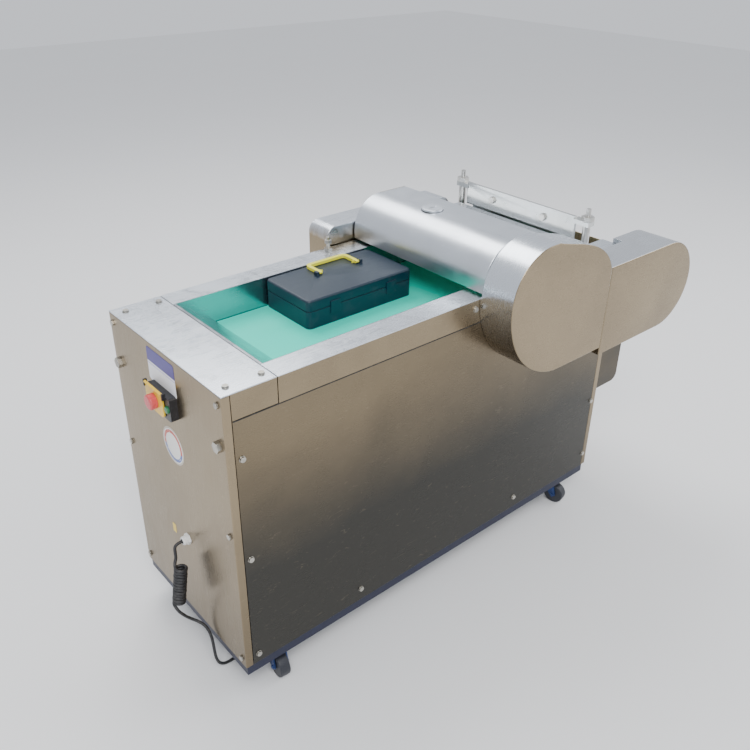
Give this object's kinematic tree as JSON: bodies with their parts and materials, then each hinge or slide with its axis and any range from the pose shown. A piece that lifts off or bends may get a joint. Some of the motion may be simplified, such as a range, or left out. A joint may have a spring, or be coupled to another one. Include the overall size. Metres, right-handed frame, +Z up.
{
  "type": "vegetable slicing machine",
  "caption": "Floor-standing belt-fed vegetable slicer in a stainless sheet cabinet on castors, with a green belt trough, hood, knife on two posts and a crank drive inside.",
  "frame": {"origin": "on the floor under the centre of the machine's bounding box, cord left out", "axes": "+X along the trough from the switch end to the knife and outlet, +Y to the far side, +Z up"},
  "size_m": [1.2298, 0.536, 0.777],
  "materials": {
    "cabinet_steel": "brushed",
    "steel": "brushed",
    "dark_steel": "satin",
    "machined": "satin",
    "cast": "matte",
    "belt_green": "matte",
    "black_rubber": "matte",
    "white_plastic": "matte",
    "black_plastic": "satin",
    "yellow_plastic": "gloss",
    "red_plastic": "gloss",
    "motor_paint": "satin"
  },
  "bodies": {
    "machine": {"base_frame": "dark_steel", "bearing_blocks": "cast", "cable_gland": "white_plastic", "conveyor_belt": "belt_green", "cord_hank": "black_rubber", "cord_tail": "black_rubber", "cover_screws": "machined", "cutting_board": "white_plastic", "deck_end_plate": "cabinet_steel", "deck_side_strips": "cabinet_steel", "discharge_chute": "steel", "far_guard": "cabinet_steel", "far_side_panel": "cabinet_steel", "front_end_panel": "cabinet_steel", "gate_strip": "steel", "guide_bushes": "machined", "hood": "cabinet_steel", "hood_cap": "white_plastic", "infeed_ramp": "steel", "motor": "motor_paint", "near_guard": "cabinet_steel", "near_side_panel": "cabinet_steel", "plug": "black_rubber", "power_cord": "black_rubber", "press_belt": "belt_green", "press_frame": "steel", "rear_end_panel": "cabinet_steel", "slider_bed": "steel", "stroke_chain": "machined", "stroke_guard": "cabinet_steel", "switch_base": "black_plastic", "trough_walls": "steel", "v_belt": "black_rubber"},
    "knife_carriage": {"guide_posts": "machined", "knife_plate": "steel", "knife_blade": "steel", "knife_bolts": "machined"},
    "rods": {"connecting_rods": "cast"},
    "crank": {"crank_shaft": "machined", "driven_pulley": "cast"},
    "motor_rotor": {"motor_pulley": "cast"},
    "stroke": {"stroke_disc": "machined"},
    "feed_arm": {"ratchet_arm": "cast"},
    "feed_link": {"feed_rod": "machined"},
    "feed_roller": {"drive_roller": "machined"},
    "tail_roller": {"idler_roller": "machined"},
    "top_roller": {"press_roller": "machined"},
    "flap": {"switch_flap": "yellow_plastic", "stop_knob": "red_plastic"},
    "start": {"start_button": "black_plastic"},
    "case": {"tool_case": "black_plastic"},
    "handle": {"case_handle": "yellow_plastic"},
    "fork_near_front": {"castor_fork_near_front": "machined"},
    "wheel_near_front": {"castor_wheel_near_front": "black_plastic"},
    "fork_near_rear": {"castor_fork_near_rear": "machined"},
    "wheel_near_rear": {"castor_wheel_near_rear": "black_plastic"},
    "fork_far_front": {"castor_fork_far_front": "machined"},
    "wheel_far_front": {"castor_wheel_far_front": "black_plastic"},
    "fork_far_rear": {"castor_fork_far_rear": "machined"},
    "wheel_far_rear": {"castor_wheel_far_rear": "black_plastic"}
  },
  "joints": [
    {"name": "knife_stroke", "type": "slide", "parent": "machine", "child": "knife_carriage", "axis": [0, 0, 1], "range_m": [-0.06, 0]},
    {"name": "wrist_pins", "type": "hinge", "parent": "knife_carriage", "child": "rods", "pos_m": [0.3135, 0.005, 0.488], "axis": [0, 1, 0], "range_deg": [-9.5, 9.5]},
    {"name": "crank_turn", "type": "hinge", "parent": "machine", "child": "crank", "pos_m": [0.3135, 0.005, 0.278], "axis": [0, 1, 0], "continuous": true},
    {"name": "motor_turn", "type": "hinge", "parent": "machine", "child": "motor_rotor", "pos_m": [-0.0515, 0.005, 0.343], "axis": [0, 1, 0], "continuous": true},
    {"name": "stroke_turn", "type": "hinge", "parent": "machine", "child": "stroke", "pos_m": [0.3735, 0.005, 0.572], "axis": [0, 1, 0], "continuous": true},
    {"name": "ratchet_arm_swing", "type": "hinge", "parent": "machine", "child": "feed_arm", "pos_m": [0.2185, -0.188, 0.575], "axis": [0, 1, 0], "range_deg": [-15.5, 8.6]},
    {"name": "feed_rod_pivot", "type": "hinge", "parent": "feed_arm", "child": "feed_link", "pos_m": [0.2185, -0.188, 0.515], "axis": [0, 1, 0], "range_deg": [-12.2, 11]},
    {"name": "feed_roller_turn", "type": "hinge", "parent": "machine", "child": "feed_roller", "pos_m": [0.2185, 0.005, 0.575], "axis": [0, 1, 0], "continuous": true},
    {"name": "tail_roller_turn", "type": "hinge", "parent": "machine", "child": "tail_roller", "pos_m": [-0.4215, 0.005, 0.575], "axis": [0, 1, 0], "continuous": true},
    {"name": "top_roller_turn", "type": "hinge", "parent": "machine", "child": "top_roller", "pos_m": [0.0855, 0.005, 0.722], "axis": [0, 1, 0], "continuous": true},
    {"name": "flap_hinge", "type": "hinge", "parent": "machine", "child": "flap", "pos_m": [-0.589, 0.01, 0.604], "axis": [0, 1, 0], "range_deg": [0, 60]},
    {"name": "start_push", "type": "slide", "parent": "machine", "child": "start", "axis": [1, 0, 0], "range_m": [0, 0.003], "stiffness_N_per_m": 250},
    {"name": "case_lift", "type": "slide", "parent": "machine", "child": "case", "axis": [0, 0, 1], "range_m": [0, 0.18]},
    {"name": "case_handle_swing", "type": "hinge", "parent": "case", "child": "handle", "pos_m": [-0.1285, 0.095, 0.6743], "axis": [1, 0, 0], "range_deg": [0, 100]},
    {"name": "castor_swivel_near_front", "type": "hinge", "parent": "machine", "child": "fork_near_front", "pos_m": [-0.4865, -0.146, 0.04], "axis": [0, 0, 1], "continuous": true},
    {"name": "castor_roll_near_front", "type": "hinge", "parent": "fork_near_front", "child": "wheel_near_front", "pos_m": [-0.48842, -0.16792, 0.025], "axis": [0.9962, -0.0872, 0], "continuous": true},
    {"name": "castor_swivel_near_rear", "type": "hinge", "parent": "machine", "child": "fork_near_rear", "pos_m": [0.3435, -0.146, 0.04], "axis": [0, 0, 1], "continuous": true},
    {"name": "castor_roll_near_rear", "type": "hinge", "parent": "fork_near_rear", "child": "wheel_near_rear", "pos_m": [0.34807, -0.16752, 0.025], "axis": [0.9781, 0.2079, 0], "continuous": true},
    {"name": "castor_swivel_far_front", "type": "hinge", "parent": "machine", "child": "fork_far_front", "pos_m": [-0.4865, 0.156, 0.04], "axis": [0, 0, 1], "continuous": true},
    {"name": "castor_roll_far_front", "type": "hinge", "parent": "fork_far_front", "child": "wheel_far_front", "pos_m": [-0.48081, 0.17725, 0.025], "axis": [-0.9659, 0.2588, 0], "continuous": true},
    {"name": "castor_swivel_far_rear", "type": "hinge", "parent": "machine", "child": "fork_far_rear", "pos_m": [0.3435, 0.156, 0.04], "axis": [0, 0, 1], "continuous": true},
    {"name": "castor_roll_far_rear", "type": "hinge", "parent": "fork_far_rear", "child": "wheel_far_rear", "pos_m": [0.33598, 0.17667, 0.025], "axis": [-0.9397, -0.342, 0], "continuous": true}
  ],
  "couplings": [
    {"joint": "motor_turn", "follows": "crank_turn", "ratio": 2},
    {"joint": "stroke_turn", "follows": "crank_turn", "ratio": 1},
    {"joint": "feed_roller_turn", "follows": "crank_turn", "ratio": 0.066667},
    {"joint": "tail_roller_turn", "follows": "crank_turn", "ratio": 0.066667}
  ]
}
